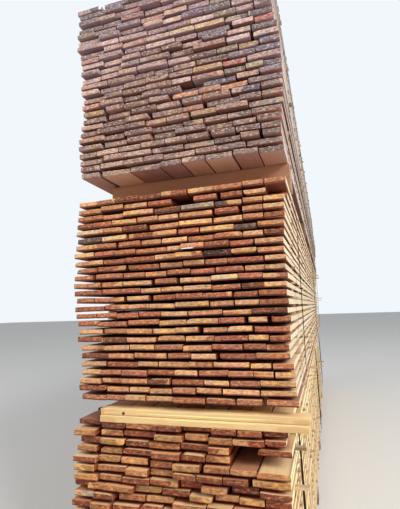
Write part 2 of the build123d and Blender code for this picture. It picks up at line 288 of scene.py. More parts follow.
class Net:
    """A node tree as it is written: each method adds a node and gives the socket that it puts out."""

    def __init__(self, tree):
        self.tree = tree

    def add(self, kind, *feeds, out=0, **settings):
        """Add a node, set it up and feed its inputs in order, or by name, from values or sockets."""
        node = self.tree.nodes.new(kind)
        named = settings.pop("named", {})
        for name, value in settings.items():
            setattr(node, name, value)
        for place, value in enumerate(feeds):
            self.feed(node.inputs[place], value)
        for name, value in named.items():
            self.feed(node.inputs[name], value)
        return node.outputs[out]

    def feed(self, socket, value):
        """Give an input its value or its link; None leaves it alone, and a colour may lack its alpha."""
        if isinstance(value, bpy.types.NodeSocket):
            self.tree.links.new(value, socket)
        elif value is not None:
            whole = socket.type != "RGBA" or len(value) == 4
            socket.default_value = value if whole else (*value, 1.0)

    def math(self, operation, *feeds, clamp=False):
        """A number worked out from others."""
        return self.add("ShaderNodeMath", *feeds, operation=operation, use_clamp=clamp)

    def times(self, one, two):
        """One number times another."""
        return self.math("MULTIPLY", one, two)

    def plus(self, one, two):
        """One number and another."""
        return self.math("ADD", one, two)

    def minus(self, one, two):
        """One number less another."""
        return self.math("SUBTRACT", one, two)

    def over(self, one, two):
        """One number divided by another."""
        return self.math("DIVIDE", one, two)

    def most(self, one, two):
        """The larger of two numbers."""
        return self.math("MAXIMUM", one, two)

    def above(self, one, limit):
        """1 where a number is above a limit."""
        return self.math("GREATER_THAN", one, limit)

    def unsigned(self, one):
        """A number without its sign."""
        return self.math("ABSOLUTE", one)

    def vector(self, operation, *feeds, out=0):
        """A vector worked out from others."""
        return self.add("ShaderNodeVectorMath", *feeds, operation=operation, out=out)

    def scaled(self, vector, factor):
        """A vector times a number."""
        return self.vector("SCALE", vector, None, None, factor)

    def join(self, x, y, z):
        """A vector of three numbers."""
        return self.add("ShaderNodeCombineXYZ", x, y, z)

    def split(self, vector):
        """The three numbers of a vector."""
        self.add("ShaderNodeSeparateXYZ", vector)
        return self.tree.nodes[-1].outputs

    def remap(self, value, low, high, to_low=0.0, to_high=1.0):
        """A number brought from one range to another and held in it."""
        return self.add("ShaderNodeMapRange", value, low, high, to_low, to_high)

    def noise(self, place, scale, detail=2.0, roughness=0.5, out=0):
        """Smooth noise about 0.5 at a place: a number (0) or a vector (1)."""
        return self.add("ShaderNodeTexNoise", out=out, noise_dimensions="3D",
                        named={"Vector": place, "Scale": scale, "Detail": detail, "Roughness": roughness})

    def choose(self, share, one, two):
        """One number going over to another."""
        node = self.tree.nodes.new("ShaderNodeMix")
        for place, value in ((0, share), (2, one), (3, two)):
            self.feed(node.inputs[place], value)
        return node.outputs[0]

    def blend(self, share, one, two, how="MIX"):
        """One colour going over to another."""
        node = self.tree.nodes.new("ShaderNodeMix")
        node.data_type = "RGBA"
        node.blend_type = how
        for place, value in ((0, share), (6, one), (7, two)):
            self.feed(node.inputs[place], value)
        return node.outputs[2]

    def toned(self, share, colour, factor):
        """A colour going over to itself times a factor."""
        return self.blend(share, colour, factor, "MULTIPLY")

    def attribute(self, name, out=2):
        """What a mesh brings to its material under a name: a colour (0), vector (1) or number (2)."""
        return self.add("ShaderNodeAttribute", out=out, attribute_name=name)

    def use(self, group, **feeds):
        """Place a node group and feed it by name; give its outputs."""
        node = self.tree.nodes.new("ShaderNodeGroup")
        node.node_tree = group
        for name, value in feeds.items():
            self.feed(node.inputs[name.replace("_", " ")], value)
        return node.outputs

    def read(self, name, kind="FLOAT_VECTOR"):
        """What each point of a mesh brings to the timber tree under a name."""
        return self.add("GeometryNodeInputNamedAttribute", name, data_type=kind)

    def store(self, mesh, name, value, kind="FLOAT"):
        """Keep a value on a mesh under a name."""
        return self.add("GeometryNodeStoreNamedAttribute", mesh, None, name, value, data_type=kind,
                        domain="POINT")


def new_group(name, kind, inputs, outputs):
    """A node group with named inputs and outputs, as its tree and a Net to write it with."""
    tree = bpy.data.node_groups.new(name, kind)
    for direction, sockets in (("INPUT", inputs), ("OUTPUT", outputs)):
        for label, socket_type, *value in sockets:
            socket = tree.interface.new_socket(label, in_out=direction,
                                               socket_type="NodeSocket" + socket_type)
            if value:
                socket.default_value = value[0]
    entry = tree.nodes.new("NodeGroupInput").outputs
    leave = tree.nodes.new("NodeGroupOutput").inputs
    return tree, Net(tree), entry, leave


# The tree that shapes every timber

def rounded(net, along, through, reach, depth):
    """How far a corner of the section is pulled in, across and through, to leave the round of the log.

    Along and through are the distances from the corner; reach and depth are the size of the round."""
    near_x = net.most(net.minus(1.0, net.over(along, reach)), 0.0)
    near_z = net.most(net.minus(1.0, net.over(through, depth)), 0.0)
    length = net.math("SQRT", net.plus(net.times(near_x, near_x), net.times(near_z, near_z)))
    pull = net.most(net.minus(1.0, net.over(1.0, net.most(length, 0.01))), 0.0)
    return net.times(net.times(near_x, reach), pull), net.times(net.times(near_z, depth), pull), pull


def timber_tree():
    """Node tree that turns each point of a mesh into one sawn timber of that point's size."""
    tree, net, entry, leave = new_group(
        "sawn timbers", "GeometryNodeTree",
        [("Timbers", "Geometry"),
         ("Points Across", "Int", 13), ("Points Along", "Int", 13), ("Points Through", "Int", 5),
         ("Wane Reach", "Float", 0.025), ("Wane Depth", "Float", 0.014), ("Arris", "Float", 0.0009),
         ("Saw Waviness", "Float", 0.001), ("Edge Waviness", "Float", 0.0003),
         ("End Droop", "Float", 0.003), ("End Twist", "Float", 0.02), ("End Cup", "Float", 0.0012),
         ("End Roughness", "Float", 0.002), ("Crowding", "Float", 2.2),
         ("Face Finish", "Material"), ("End Finish", "Material")],
        [("Timbers", "Geometry")])
    blank = net.add("GeometryNodeMeshCube", (2.0, 2.0, 2.0), entry["Points Across"], entry["Points Along"],
                    entry["Points Through"])
    blank = net.store(blank, "blank", net.add("GeometryNodeInputPosition"), "FLOAT_VECTOR")
    laid = net.add("GeometryNodeInstanceOnPoints", entry["Timbers"], None, blank)
    mesh = net.add("GeometryNodeRealizeInstances", laid)

    place, pith, turn = net.read("place"), net.read("pith"), net.read("turn", "FLOAT")
    wane, chance = net.split(net.read("wane")), net.split(net.read("chance"))
    unit_x, unit_y, unit_z = net.split(net.read("blank"))
    half_x, half_y, half_z = net.split(net.scaled(net.read("size"), 0.5))

    # Points crowd towards the arrises and the ends
    across = net.math("SINE", net.times(unit_x, math.pi / 2))
    through = net.math("SINE", net.times(unit_z, math.pi / 2))
    from_end = net.math("POWER", net.minus(1.0, net.unsigned(unit_y)), entry["Crowding"])
    end = net.math("SIGN", unit_y)
    x = net.times(across, half_x)
    y = net.times(net.times(end, net.minus(1.0, from_end)), half_y)
    z = net.times(through, half_z)

    # Noise runs along the timber and differs between timbers
    apart = net.scaled(pith, 40.0)
    slow = net.split(net.noise(net.vector("ADD", net.join(0.0, y, 0.0), apart), 1.6, out=1))
    quick = net.split(net.noise(net.vector("ADD", net.join(x, y, z), apart), 28.0, out=1))

    # Waney edges, left and right, on the face that the third number of wane gives
    bark = 0.0
    for side, share in ((-1.0, wane[0]), (1.0, wane[1])):
        amount = net.times(share, net.remap(slow[0], 0.25, 0.75, 0.35, 1.25))
        from_side = net.minus(half_x, net.times(x, side))
        from_face = net.minus(half_z, net.times(z, wane[2]))
        reach = net.most(net.times(entry["Wane Reach"], amount), 0.0005)
        depth = net.most(net.times(entry["Wane Depth"], amount), 0.0005)
        pull_x, pull_z, pull = rounded(net, from_side, from_face, reach, depth)
        x = net.minus(x, net.times(pull_x, side))
        z = net.minus(z, net.times(pull_z, wane[2]))
        bark = net.plus(bark, net.times(pull, net.above(amount, 0.3)))

    # Eased arrises
    from_side = net.minus(half_x, net.unsigned(x))
    from_face = net.minus(half_z, net.unsigned(z))
    ease = net.times(entry["Arris"], net.remap(quick[1], 0.3, 0.7, 0.5, 1.6))
    pull_x, pull_z, _ = rounded(net, from_side, from_face, ease, ease)
    x = net.minus(x, net.times(pull_x, net.math("SIGN", x)))
    z = net.minus(z, net.times(pull_z, net.math("SIGN", z)))

    # Saw waviness, inwards only, so that no face leaves the timber's box
    x = net.times(x, net.minus(1.0, net.over(net.times(slow[1], entry["Edge Waviness"]), half_x)))
    z = net.times(z, net.minus(1.0, net.over(net.times(quick[2], entry["Saw Waviness"]), half_z)))

    # The end cut is rough and a little out of square
    slant = net.unsigned(net.plus(net.times(across, chance[0]), net.times(through, 0.5)))
    cut = net.times(entry["End Roughness"], net.plus(quick[0], slant))
    y = net.minus(y, net.times(net.times(cut, net.above(net.unsigned(unit_y), 0.98)), end))

    # Free ends droop, twist and cup
    inset = net.minus(half_y, net.unsigned(y))
    free = net.remap(inset, FREE_END, 0.0)
    droop = net.times(chance[1], entry["End Droop"])
    twist = net.times(net.times(chance[2], entry["End Twist"]), x)
    cup = net.times(net.times(chance[0], entry["End Cup"]), net.minus(net.times(across, across), 0.33))
    lift = net.times(net.times(free, free), net.plus(droop, net.plus(twist, cup)))

    # What the finishes read: place in the log, bark, and distance from the end and from the stack's side
    shaped = net.join(x, y, z)
    outer = net.read("outer_side", "FLOAT")
    flank = net.plus(net.minus(half_x, net.times(x, outer)), net.minus(1.0, net.unsigned(outer)))
    mesh = net.store(mesh, "log", net.vector("ADD", shaped, pith), "FLOAT_VECTOR")
    mesh = net.store(mesh, "bark", bark)
    mesh = net.store(mesh, "inset", inset)
    mesh = net.store(mesh, "flank", flank)
    shaped = net.vector("ADD", shaped, net.join(0.0, 0.0, lift))
    turned = net.add("ShaderNodeVectorRotate", shaped, None, None, turn, rotation_type="Z_AXIS")
    mesh = net.add("GeometryNodeSetPosition", mesh, None, net.vector("ADD", place, turned))

    mesh = net.add("GeometryNodeRealizeInstances", mesh)
    mesh = net.add("GeometryNodeSetMaterial", mesh, None, entry["Face Finish"])
    end_face = net.above(net.unsigned(unit_y), 0.999)
    mesh = net.add("GeometryNodeSetMaterial", mesh, end_face, entry["End Finish"])
    net.feed(leave[0], mesh)
    return tree


# Finishes

def wood_grain_group():
    """Growth rings and fibres of a board at its place in the log, the same on every face."""
    tree, net, entry, leave = new_group(
        "wood grain", "ShaderNodeTree",
        [("Place", "Vector"), ("Ring Width", "Float", 0.004), ("Ring Strength", "Float", 0.5),
         ("Fibre Strength", "Float", 0.5)],
        [("Rings", "Float"), ("Fibres", "Float"), ("Blotches", "Float"), ("Radius", "Float")])
    x, y, z = net.split(entry["Place"])

    def drawn(share):
        """The place with its length cut to a share, so that noise runs along the board."""
        return net.join(x, net.times(y, share), z)

    place = drawn(0.08)
    wander = net.vector("SUBTRACT", net.noise(place, 9.0, out=1), (0.5, 0.5, 0.5))
    bent_x, _, bent_z = net.split(net.vector("ADD", place, net.scaled(wander, 0.02)))
    radius = net.math("SQRT", net.plus(net.times(bent_x, bent_x), net.times(bent_z, bent_z)))
    ring = net.math("POWER", net.math("FRACT", net.over(radius, entry["Ring Width"])), 2.5)
    net.feed(leave["Radius"], radius)
    net.feed(leave["Rings"], net.times(ring, entry["Ring Strength"]))
    net.feed(leave["Fibres"], net.times(net.noise(drawn(0.03), 900.0, 3.0, 0.7), entry["Fibre Strength"]))
    net.feed(leave["Blotches"], net.noise(drawn(0.3), 14.0, 4.0, 0.6))
    return tree


def torn_fibres_group():
    """Specks where the saw tore the fibres of a board end: pale broken ends and dark pits."""
    tree, net, entry, leave = new_group("torn fibres", "ShaderNodeTree",
                                        [("Place", "Vector"), ("Scale", "Float", 150.0)],
                                        [("Pale", "Float"), ("Dark", "Float")])
    coarse = net.noise(entry["Place"], entry["Scale"], 3.0, 0.75)
    net.feed(leave["Pale"], net.remap(coarse, 0.52, 0.64))
    net.feed(leave["Dark"], net.remap(coarse, 0.48, 0.36))
    return tree


def dab_group():
    """A ragged dab about a place, seen along the boards."""
    tree, net, entry, leave = new_group("dab", "ShaderNodeTree",
                                        [("Centre", "Vector"), ("Reach", "Vector", (0.01, 1.0, 0.01))],
                                        [("Mask", "Float")])
    place = net.add("ShaderNodeTexCoord", out="Object")
    away = net.vector("MULTIPLY", net.vector("SUBTRACT", place, entry["Centre"]), (1.0, 0.0, 1.0))
    away = net.vector("LENGTH", net.vector("DIVIDE", away, entry["Reach"]), out=1)
    ragged = net.plus(away, net.times(net.noise(place, 130.0, 3.0, 0.6), 0.9))
    net.feed(leave["Mask"], net.remap(ragged, 1.55, 1.25))
    return tree


def new_material(name):
    """A material with its Net and Principled shader."""
    material = bpy.data.materials.new(name)
    material.use_nodes = True
    return material, Net(material.node_tree), material.node_tree.nodes["Principled BSDF"]


def finish_with(net, shader, tools, colour, dabs, roughness, height, depth):
    """Lay the dabs over a colour, and give it to the shader with its roughness and bump."""
    for paint, across, up, reach, rise in dabs:
        mask = net.use(tools["dab"], Centre=(across, 0.0, up), Reach=(reach, 1.0, rise))["Mask"]
        colour = net.blend(mask, colour, srgb(*PAINTS[paint]))
    net.feed(shader.inputs["Base Color"], colour)
    net.feed(shader.inputs["Roughness"], roughness)
    bump = net.add("ShaderNodeBump", named={"Strength": BUMP_STRENGTH, "Distance": depth, "Height": height})
    net.feed(shader.inputs["Normal"], bump)


def end_finish(name, tools, sapwood, weathering, dabs=(), underside=(-0.35, -1.0, 0.55),
               painted_under_shade=(0.40, 0.29, 0.24), speck=150.0):
    """Sawn board ends: rings, torn fibres, paler sapwood, painted light on the upper and painted shade on the
    lower arris.
    """
    material, net, shader = new_material(name)
    sapwood = srgb(*sapwood)
    place = net.attribute("log", 1)
    x, _, z = net.split(place)
    parts = net.use(tools["grain"], Place=place, Ring_Width=RING_WIDTH, Ring_Strength=1.0, Fibre_Strength=1.0)
    sap = net.remap(net.minus(parts["Radius"], net.attribute("sapwood")), 0.0, 0.004)
    colour = net.blend(net.times(sap, 0.6), net.attribute("end_tint", 0), sapwood)
    colour = net.toned(net.times(parts["Rings"], 0.30), colour, (0.52, 0.34, 0.26))

    # Patches of yellower and of redder wood
    yellow, red, _ = net.split(net.noise(net.join(x, 0.0, net.times(z, 0.5)), 16.0, out=1))
    colour = net.toned(net.remap(yellow, 0.50, 0.60, 0.0, 0.75), colour, (1.22, 1.16, 0.80))
    colour = net.toned(net.remap(red, 0.52, 0.62, 0.0, 0.75), colour, (0.98, 0.76, 0.74))

    # Torn fibres, drawn out along the width of the board
    drawn = net.join(net.times(x, 0.4), 0.0, z)
    torn = net.use(tools["torn fibres"], Place=drawn, Scale=speck)
    pale = net.blend(1.0, net.blend(0.4, colour, sapwood), (1.35, 1.3, 1.25), "MULTIPLY")
    colour = net.blend(net.times(torn["Pale"], 0.7), colour, pale)
    mottle = net.noise(drawn, speck, 3.0, 0.7, out=1)
    mottle = net.vector("MULTIPLY_ADD", mottle, (0.9, 0.9, 0.9), (0.55, 0.55, 0.55))
    colour = net.toned(0.6, colour, mottle)
    colour = net.toned(net.times(torn["Dark"], 0.8), colour, (0.42, 0.27, 0.20))
    stains = net.remap(parts["Blotches"], 0.50, 0.66)
    colour = net.toned(net.times(stains, 0.40), colour, (0.62, 0.42, 0.32))

    if weathering:
        grey = net.remap(net.noise(place, 26.0, 3.0, 0.65), 0.45, 0.62)
        colour = net.blend(net.times(grey, weathering), colour, srgb(138, 128, 128))
        warm, pink, _ = net.split(net.noise(place, 19.0, 3.0, 0.65, out=1))
        plain = net.remap(net.attribute("stained"), 0.0, 1.0, 0.6, 0.12)
        warm = net.times(plain, net.remap(warm, 0.52, 0.66))
        colour = net.blend(warm, colour, srgb(190, 154, 118))
        pink = net.times(plain, net.remap(pink, 0.53, 0.66, 0.0, 0.83))
        colour = net.blend(pink, colour, srgb(168, 116, 116))
        scratch = net.noise(drawn, 170.0, 3.0, 0.7)
        colour = net.blend(net.remap(scratch, 0.54, 0.62, 0.0, 0.6), colour, srgb(232, 214, 202))
        colour = net.blend(net.remap(scratch, 0.46, 0.38, 0.0, 0.6), colour, srgb(84, 62, 60))

    # Painted light on the upper arris and painted shade on the lower arris
    level = net.split(net.attribute("blank", 1))[2]
    begins, full, share = underside
    colour = net.toned(net.remap(level, 0.55, 1.0, 0.0, 0.38), colour, (1.8, 1.7, 1.55))
    colour = net.toned(net.remap(level, begins, full, 0.0, share), colour, painted_under_shade)
    height = net.plus(net.minus(torn["Pale"], torn["Dark"]), net.times(parts["Rings"], 0.5))
    finish_with(net, shader, tools, colour, dabs, 0.85, height, 0.0009)
    return material


def face_finish(name, tools, weathering, covered=LIGHT_SHADE, rim=(0.001, 0.008), dabs=(), deeper=None):
    """Sawn long faces: fibres, rings, saw marks, bark, and painted shade where others cover them."""
    material, net, shader = new_material(name)
    place = net.attribute("log", 1)
    x, y, z = net.split(place)
    parts = net.use(tools["grain"], Place=place, Ring_Width=RING_WIDTH, Ring_Strength=0.8, Fibre_Strength=1.0)
    upward = net.split(net.add("ShaderNodeNewGeometry", out="True Normal"))[2]
    flat = net.above(net.unsigned(upward), 0.6)
    up = net.above(upward, 0.0)
    colour = net.blend(flat, net.attribute("side_tint", 0), net.attribute("face_tint", 0))
    colour = net.toned(net.times(parts["Rings"], 0.35), colour, (0.74, 0.54, 0.40))
    streaks = net.remap(net.noise(net.join(x, net.times(y, 0.06), z), 130.0, 3.0, 0.6), 0.38, 0.7)
    colour = net.toned(net.times(streaks, 0.30), colour, (0.6, 0.45, 0.36))
    red = net.remap(parts["Blotches"], 0.52, 0.72)
    colour = net.blend(net.times(red, 0.25), colour, srgb(196, 128, 84))

    # Grey of the weather, most on the faces that lie open on top
    open_top, open_under, _ = net.split(net.attribute("open", 1))
    if weathering:
        grey = net.remap(net.noise(place, 3.0, 3.0, 0.6), 0.4, 0.65)
        colour = net.blend(net.times(grey, weathering), colour, srgb(150, 136, 128))
        greyed = net.times(net.times(up, flat), net.remap(open_top, 1.0, 2.0, 0.0, 0.75))
        greys = net.blend(parts["Rings"], srgb(176, 164, 150), srgb(140, 126, 114))
        colour = net.blend(greyed, colour, greys)

    # Painted shade where other boards cover the wood, from a rim at the end and at the side inwards
    bare = net.choose(up, open_under, open_top)
    inset = net.minus(net.attribute("inset"), net.times(bare, flat))
    depth = net.remap(inset, net.choose(flat, 0.0005, rim[0]), net.choose(flat, 0.005, rim[1]))
    from_side = net.remap(net.attribute("flank"), net.choose(up, 0.0, 0.02), net.choose(up, 0.006, 0.06))
    dark = net.blend(net.remap(inset, 0.04, 0.25), covered, deeper or covered)
    colour = net.toned(net.times(depth, from_side), colour, dark)

    # Bark on the waney edges
    bark = net.remap(net.attribute("bark"), 0.02, 0.2)
    rough_bark = net.noise(place, 160.0, 4.0, 0.7)
    bark_colour = net.blend(net.remap(rough_bark, 0.35, 0.65), srgb(78, 54, 42), srgb(158, 122, 94))
    colour = net.blend(net.times(bark, 0.7), colour, bark_colour)

    saw = net.add("ShaderNodeTexWave", wave_type="BANDS", bands_direction="Y", out=1, named={
        "Vector": place, "Scale": 45.0, "Distortion": 3.0, "Detail": 2.0, "Detail Scale": 1.5})
    height = net.plus(net.times(parts["Fibres"], 0.5), net.times(saw, 0.25))
    height = net.plus(height, net.times(net.times(rough_bark, bark), 3.0))
    finish_with(net, shader, tools, colour, dabs, 0.8, height, 0.0008)
    return material


def strap_finish():
    """Dark painted packing band."""
    material, net, shader = new_material("dark packing band")
    wear = net.remap(net.noise(net.add("ShaderNodeTexCoord", out="Object"), 60.0, 3.0, 0.6), 0.45, 0.7)
    net.feed(shader.inputs["Base Color"], net.blend(wear, srgb(18, 18, 20), srgb(42, 38, 36)))
    net.feed(shader.inputs["Roughness"], net.remap(wear, 0.0, 1.0, 0.6, 0.8))
    shader.inputs["Specular IOR Level"].default_value = 0.2
    return material


def all_finishes():
    """Every finish of the timbers, by its name."""
    tools = {"grain": wood_grain_group(), "torn fibres": torn_fibres_group(), "dab": dab_group()}
    finishes = {}
    for package, look in PACKAGE_LOOKS.items():
        dabs = [dab for dab in DABS if look["foot"] < dab[2] < look["top"]]
        finishes[package + " end"] = end_finish(
            package + " board ends", tools, SAPWOOD[package], look["weathering"], dabs, look["underside"],
            look["painted_under_shade"], look["speck"])
        finishes[package + " face"] = face_finish(
            package + " board faces", tools, look["weathering"], look["shade"], look["rim"],
            deeper=look["deeper"])
    finishes["lath face"] = face_finish("lath faces", tools, 0.1)
    finishes["lath end"] = end_finish("lath ends", tools, SAPWOOD["middle"], 0.1)
    finishes["bearer face"] = face_finish("bearer faces", tools, 0.1)
    finishes["bearer end"] = end_finish("bearer ends", tools, SAPWOOD["upper"], 0.2)
    finishes["fresh face"] = face_finish("fresh plank faces", tools, 0.0, dabs=PLANK_DABS)
    finishes["fresh end"] = end_finish("fresh plank ends", tools, SAPWOOD["middle"], 0.0)
    return finishes


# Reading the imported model

def solids_of(node):
    """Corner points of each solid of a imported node, one array for each."""
    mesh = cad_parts[node].data
    points = np.array([vertex.co for vertex in mesh.vertices], float)
    corners, where = np.unique(np.round(points, 5), axis=0, return_inverse=True)
    where = where.ravel()
    triangles = np.array([[where[index] for index in face.vertices] for face in mesh.polygons])
    label = np.arange(len(corners))
    changed = True
    while changed:
        lowest = label[triangles].min(axis=1)
        before = label.copy()
        for corner in range(3):
            np.minimum.at(label, triangles[:, corner], lowest)
        changed = bool((before != label).any())
    return [corners[label == name] for name in np.unique(label)]


def missing_corner(points):
    """The side and height of the corner that a waney board's solid lacks, or None."""
    low, high = points.min(axis=0), points.max(axis=0)
    for side, x in ((-1, low[0]), (1, high[0])):
        for height, z in ((-1, low[2]), (1, high[2])):
            near = (abs(points[:, 0] - x) < 1e-4) & (abs(points[:, 2] - z) < 1e-4)
            if not near.any():
                return side, height
    return None


def bare_depth(points, others):
    """How far from its near end a board lies bare above, from the boards of the next row up."""
    low, high = points.min(axis=0), points.max(axis=0)
    covered, bare = 0.0, 0.0
    for other in others:
        other_low, other_high = other.min(axis=0), other.max(axis=0)
        step = other_low[2] - low[2]
        shared = min(high[0], other_high[0]) - max(low[0], other_low[0])
        if ROW_STEP[0] < step < ROW_STEP[1] and shared > 0:
            covered += shared
            bare += shared * max(0.0, other_low[1] - low[1])
    return bare / covered if covered else FAR


# The pieces of the stack

def timber_of(points, dice, end_tint, face_tint, wane=(0.0, 0.0, 1.0), along_x=False, log_radius=BOARD_LOG,
              side_tint=None, bare=(FAR, FAR), sapwood=FAR, outer_side=0.0, stained=0.0):
    """What the tree and the finishes need to know of one timber: its box, its colours and its chances.

    Bare is how far from the near end its upper and lower face lie open, to the weather and free of painted
    shade, sapwood the distance from the pith at which the paler wood begins, outer side the one of its edges
    that lies at the side of the stack, -1 or 1, or 0, and stained is 1 where its end keeps its own dark
    colour."""
    low, high = points.min(axis=0), points.max(axis=0)
    size = high - low
    if along_x:
        size = size[[1, 0, 2]]
    angle = dice.uniform(0, 2 * math.pi)
    radius = log_radius * math.sqrt(dice.random())
    return {
        "place": (low + high) / 2,
        "size": size,
        "wane": wane,
        "chance": (dice.uniform(-1, 1), dice.uniform(-1, 0.9), dice.uniform(-1, 1)),
        "pith": (radius * math.cos(angle), dice.uniform(-50, 50), radius * math.sin(angle)),
        "turn": -math.pi / 2 if along_x else 0.0,
        "open": (*bare, 0.0),
        "sapwood": sapwood,
        "stained": stained,
        "outer_side": outer_side,
        "end_tint": end_tint,
        "face_tint": face_tint,
        "side_tint": side_tint or face_tint,
    }


def grown(timbers, tree, settings, name):
    """The plain mesh that the tree makes of one point for each timber, as a new object at the origin."""
    cloud = bpy.data.meshes.new(name + "_points")
    cloud.from_pydata([timber["place"] for timber in timbers], [], [])
    kinds = {1: ("FLOAT", "value"), 3: ("FLOAT_VECTOR", "vector"), 4: ("FLOAT_COLOR", "color")}
    for key in timbers[0]:
        values = np.array([timber[key] for timber in timbers], np.float32)
        kind, field = kinds[values.size // len(timbers)]
        cloud.attributes.new(key, kind, "POINT").data.foreach_set(field, values.ravel())
    points = bpy.data.objects.new(name + "_points", cloud)
    bpy.context.scene.collection.objects.link(points)
    modifier = points.modifiers.new("tree", "NODES")
    modifier.node_group = tree
    for item in tree.interface.items_tree:
        if item.name in settings:
            modifier[item.identifier] = settings[item.name]
    evaluated = points.evaluated_get(bpy.context.evaluated_depsgraph_get())
    mesh = bpy.data.meshes.new_from_object(evaluated)
    mesh.name = name
    points.modifiers.clear()
    bpy.data.objects.remove(points)
    mesh.polygons.foreach_set("use_smooth", [True] * len(mesh.polygons))
    mesh.set_sharp_from_angle(angle=math.radians(SMOOTH_ANGLE))
    piece = bpy.data.objects.new(name, mesh)
    bpy.context.scene.collection.objects.link(piece)
    return piece


def closed_piece(name, vertices, faces, finish):
    """A new object of closed shapes whose faces are turned to look out."""
    mesh = bpy.data.meshes.new(name)
    mesh.from_pydata(vertices, [], faces)
    mesh.materials.append(finish)
    shape = bmesh.new()
    shape.from_mesh(mesh)
    bmesh.ops.recalc_face_normals(shape, faces=shape.faces)
    shape.to_mesh(mesh)
    shape.free()
    piece = bpy.data.objects.new(name, mesh)
    bpy.context.scene.collection.objects.link(piece)
    return piece


def finished(piece, slot, *nodes):
    """Put a piece on the one body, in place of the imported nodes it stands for."""
    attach(piece, "root")
    if nodes:
        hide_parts(*nodes)


def marked(low, high, marks):
    """The paint of the mark that lies on this board's near end, or None."""
    for paint, places in marks.items():
        for across, up in places:
            if low[0] < across < high[0] and abs((low[2] + high[2]) / 2 - up) < HALF_ROW:
                return paint
    return None


def held(value, low, high):
    """A number brought from a range to 0 to 1 and held there."""
    return min(1.0, max(0.0, (value - low) / (high - low)))


def stain_share(low, high):
    """How likely an upper board end is stained: most at the right side and at the upper left corner."""
    across, up = (low[0] + high[0]) / 2, (low[2] + high[2]) / 2
    right = held(across, *STAINED_RIGHT) * STAINED_RIGHT_SHARE
    return max(right, held(up, *STAINED_CORNER_UP) * held(across, *STAINED_CORNER_ACROSS))


def board_of(points, node, number, package, near, bottom):
    """What the tree and the finishes need to know of one board; its chances are drawn in its own name."""
    dice = Random(node + str(number))
    low, high = points.min(axis=0), points.max(axis=0)
    corner = missing_corner(points)
    wane = [0.0, 0.0, 1.0]
    if corner:
        side, height = corner
        wane[0 if side < 0 else 1] = dice.uniform(0.7, 1.2)
        wane[0 if side > 0 else 1] = dice.choice((0.0, 0.0, dice.uniform(0.3, 0.8)))
        wane[2] = float(height)
    elif dice.random() < 0.2:
        wane = [dice.uniform(0.0, 0.4), dice.uniform(0.0, 0.4), dice.choice((-1.0, 1.0))]

    # Colours: by chance, paler high up in the upper package, and then those of the marked boards
    height = held(low[2], *PALER_UP) if package == "upper" else 0.0
    kind = "upper high" if dice.random() < height else package
    stain_dice = Random(node + "stain" + str(number))
    stained = package == "upper" and stain_dice.random() < stain_share(low, high)
    if stained:
        kind = "upper slate" if low[2] > SLATE_HEIGHT else "upper dark"
    end_tint = shade(pick(dice, END_COLOURS[kind]), dice.uniform(0.88, 1.12) * END_LEVEL[kind])
    kind = "upper high" if dice.random() < height else package
    face_tint = shade(pick(dice, FACE_COLOURS[kind]), dice.uniform(0.9, 1.08))
    end_paint, face_paint = marked(low, high, MARKED_ENDS), marked(low, high, MARKED_FACES)
    if end_paint:
        end_tint = srgb(*PAINTS[end_paint])
    if face_paint:
        face_tint = srgb(*PAINTS[face_paint])

    # The outermost boards of a row
    side_tint, outer_side = face_tint, 0.0
    row = [other for other in near if abs(other[:, 2].min() - low[2]) < SAME_ROW]
    if high[0] > max(other[:, 0].max() for other in row) - AT_EDGE:
        outer_side = 1.0
    elif low[0] < min(other[:, 0].min() for other in row) + AT_EDGE:
        outer_side = -1.0
    if outer_side:
        side_tint = shade(srgb(*SIDE_COLOUR[package]), dice.uniform(0.91, 1.07))

    sapwood = dice.choice((FAR, FAR, dice.uniform(0.08, 0.14)))
    bare_below = BARE_UNDERSIDE if package == "upper" else FAR
    bare = (bare_depth(points, near), bare_below if low[2] < bottom + AT_EDGE else 0.0)
    timber = timber_of(points, dice, end_tint, face_tint, wane, side_tint=side_tint, bare=bare,
                       sapwood=sapwood, outer_side=outer_side, stained=float(bool(end_paint) or stained))
    if high[2] > cad_high[2] - AT_TOP:
        timber["chance"] = (0.0, -0.3, 0.0)
    return timber


def build_boards(tree, finishes):
    """Every board of the three packages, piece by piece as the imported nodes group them."""
    for package in PACKAGES:
        nodes = sorted(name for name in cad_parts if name.startswith(package + "_boards"))
        solids = {node: solids_of(node) for node in nodes}
        everything = [points for node in nodes for points in solids[node]]
        bottom = min(points[:, 2].min() for points in everything)
        for node in nodes:
            levels = [points[:, 2].min() for points in solids[node]]
            near = [points for points in everything
                    if min(levels) - NEAR_ROWS < points[:, 2].min() < max(levels) + NEAR_ROWS]
            timbers = [board_of(points, node, number, package, near, bottom)
                       for number, points in enumerate(solids[node])]
            settings = {"Face Finish": finishes[package + " face"], "End Finish": finishes[package + " end"]}
            piece = grown(timbers, tree, settings, node + "_sawn")
            finished(piece, "weathered_board" if package == "upper" else "sawn_board", node)


def in_between(stickers):
    """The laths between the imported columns: one more midway between each two of a row."""
    extra = []
    levels = {}
    for points in stickers:
        levels.setdefault(round(float(points[:, 2].min()), 4), []).append(points)
    for level in sorted(levels):
        row = sorted(levels[level], key=lambda points: points[:, 1].min())
        for one, two in zip(row, row[1:]):
            dice = Random("lath" + str(level) + str(len(extra)))
            copy = one.copy()
            copy[:, 1] += (two[:, 1].mean() - one[:, 1].mean()) / 2 + dice.uniform(-LATH_STRAY, LATH_STRAY)
            extra.append(copy)
    return extra


def standing_out(stickers):
    """The laths of these levels that stand out at the right side, each with the shade of its end."""
    found = []
    for along, up, reach, end_shade in LONG_LATHS:
        nearest = min(stickers, key=lambda points: abs(points[:, 2].mean() - up))
        if abs(nearest[:, 2].mean() - up) < LATH_NEAR:
            copy = nearest.copy()
            copy[:, 1] += along - copy[:, 1].mean()
            copy[copy[:, 0] > 0, 0] = reach
            found.append((copy, end_shade))
    return found


